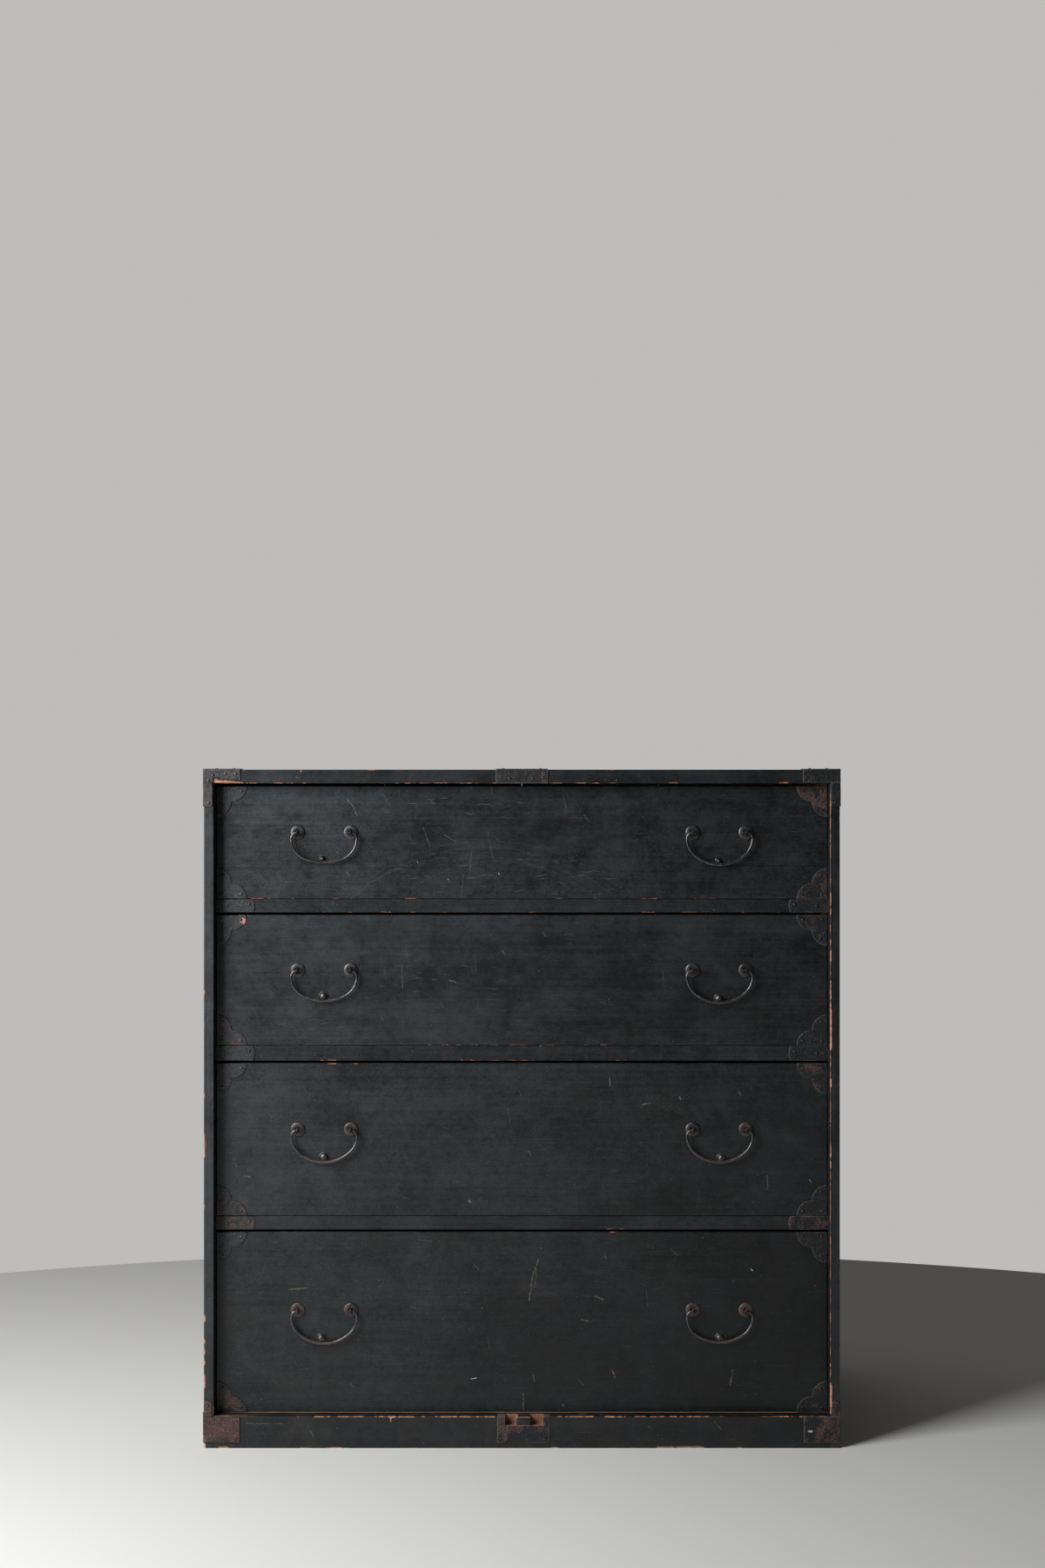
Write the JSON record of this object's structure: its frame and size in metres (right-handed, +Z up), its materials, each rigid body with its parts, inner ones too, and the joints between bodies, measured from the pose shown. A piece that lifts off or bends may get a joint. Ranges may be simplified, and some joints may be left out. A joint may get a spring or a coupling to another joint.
{
  "type": "chest of drawers",
  "caption": "Floor-standing lacquered wooden chest with graduated sliding drawers, swinging iron bail handles, nailed iron corner plates and a finger-jointed case.",
  "frame": {"origin": "centre of the base, on the floor", "axes": "+Z up, the drawer fronts face -Y, +X to the right as seen from the front"},
  "size_m": [0.8844, 0.4322, 0.9407],
  "materials": {
    "lacquer": "worn satin black lacquer over wood, rubbed through to orange-brown wood on the arrises",
    "plain_wood": "bare aged softwood",
    "plate_iron": "dark sheet iron with reddish-brown rust",
    "nail_iron": "dark iron, worn bright on the heads",
    "handle_iron": "forged iron rod, rubbed grey by use with brown rust below"
  },
  "bodies": {
    "case": {"top_board": "lacquer", "left_side": "lacquer", "right_side": "lacquer", "bottom_board": "plain_wood", "bottom_rail": "lacquer", "back_boards": "plain_wood", "rail_1": "lacquer", "rail_2": "lacquer", "rail_3": "lacquer", "side_runners": "plain_wood", "case_corner_irons": "plate_iron", "rail_end_plates": "plate_iron", "top_catch_plate": "plate_iron", "bottom_keeper_plate": "plate_iron", "case_nails": "nail_iron"},
    "drawer_1": {"drawer_1_front": "lacquer", "drawer_1_left": "plain_wood", "drawer_1_right": "plain_wood", "drawer_1_back": "plain_wood", "drawer_1_bottom": "plain_wood", "drawer_1_rosettes": "plate_iron", "drawer_1_eye_pins": "handle_iron", "drawer_1_corner_plates": "plate_iron", "drawer_1_nails": "nail_iron"},
    "drawer_1_bail_left": {"drawer_1_bail_left": "handle_iron"},
    "drawer_1_bail_right": {"drawer_1_bail_right": "handle_iron"},
    "drawer_2": {"drawer_2_front": "lacquer", "drawer_2_left": "plain_wood", "drawer_2_right": "plain_wood", "drawer_2_back": "plain_wood", "drawer_2_bottom": "plain_wood", "drawer_2_rosettes": "plate_iron", "drawer_2_eye_pins": "handle_iron", "drawer_2_corner_plates": "plate_iron", "drawer_2_nails": "nail_iron"},
    "drawer_2_bail_left": {"drawer_2_bail_left": "handle_iron"},
    "drawer_2_bail_right": {"drawer_2_bail_right": "handle_iron"},
    "drawer_3": {"drawer_3_front": "lacquer", "drawer_3_left": "plain_wood", "drawer_3_right": "plain_wood", "drawer_3_back": "plain_wood", "drawer_3_bottom": "plain_wood", "drawer_3_rosettes": "plate_iron", "drawer_3_eye_pins": "handle_iron", "drawer_3_corner_plates": "plate_iron", "drawer_3_nails": "nail_iron"},
    "drawer_3_bail_left": {"drawer_3_bail_left": "handle_iron"},
    "drawer_3_bail_right": {"drawer_3_bail_right": "handle_iron"},
    "drawer_4": {"drawer_4_front": "lacquer", "drawer_4_left": "plain_wood", "drawer_4_right": "plain_wood", "drawer_4_back": "plain_wood", "drawer_4_bottom": "plain_wood", "drawer_4_rosettes": "plate_iron", "drawer_4_eye_pins": "handle_iron", "drawer_4_corner_plates": "plate_iron", "drawer_4_nails": "nail_iron"},
    "drawer_4_bail_left": {"drawer_4_bail_left": "handle_iron"},
    "drawer_4_bail_right": {"drawer_4_bail_right": "handle_iron"}
  },
  "joints": [
    {"name": "drawer_1_slide", "type": "slide", "parent": "case", "child": "drawer_1", "axis": [0, -1, 0], "range_m": [0, 0.3]},
    {"name": "drawer_1_bail_left_swing", "type": "hinge", "parent": "drawer_1", "child": "drawer_1_bail_left", "pos_m": [-0.275, -0.202, 0.85115], "axis": [-1, 0, 0], "range_deg": [0, 175]},
    {"name": "drawer_1_bail_right_swing", "type": "hinge", "parent": "drawer_1", "child": "drawer_1_bail_right", "pos_m": [0.275, -0.202, 0.85115], "axis": [-1, 0, 0], "range_deg": [0, 175]},
    {"name": "drawer_2_slide", "type": "slide", "parent": "case", "child": "drawer_2", "axis": [0, -1, 0], "range_m": [0, 0.3]},
    {"name": "drawer_2_bail_left_swing", "type": "hinge", "parent": "drawer_2", "child": "drawer_2_bail_left", "pos_m": [-0.275, -0.202, 0.65945], "axis": [-1, 0, 0], "range_deg": [0, 175]},
    {"name": "drawer_2_bail_right_swing", "type": "hinge", "parent": "drawer_2", "child": "drawer_2_bail_right", "pos_m": [0.275, -0.202, 0.65945], "axis": [-1, 0, 0], "range_deg": [0, 175]},
    {"name": "drawer_3_slide", "type": "slide", "parent": "case", "child": "drawer_3", "axis": [0, -1, 0], "range_m": [0, 0.3]},
    {"name": "drawer_3_bail_left_swing", "type": "hinge", "parent": "drawer_3", "child": "drawer_3_bail_left", "pos_m": [-0.275, -0.202, 0.43775], "axis": [-1, 0, 0], "range_deg": [0, 175]},
    {"name": "drawer_3_bail_right_swing", "type": "hinge", "parent": "drawer_3", "child": "drawer_3_bail_right", "pos_m": [0.275, -0.202, 0.43775], "axis": [-1, 0, 0], "range_deg": [0, 175]},
    {"name": "drawer_4_slide", "type": "slide", "parent": "case", "child": "drawer_4", "axis": [0, -1, 0], "range_m": [0, 0.3]},
    {"name": "drawer_4_bail_left_swing", "type": "hinge", "parent": "drawer_4", "child": "drawer_4_bail_left", "pos_m": [-0.275, -0.202, 0.18625], "axis": [-1, 0, 0], "range_deg": [0, 175]},
    {"name": "drawer_4_bail_right_swing", "type": "hinge", "parent": "drawer_4", "child": "drawer_4_bail_right", "pos_m": [0.275, -0.202, 0.18625], "axis": [-1, 0, 0], "range_deg": [0, 175]}
  ]
}
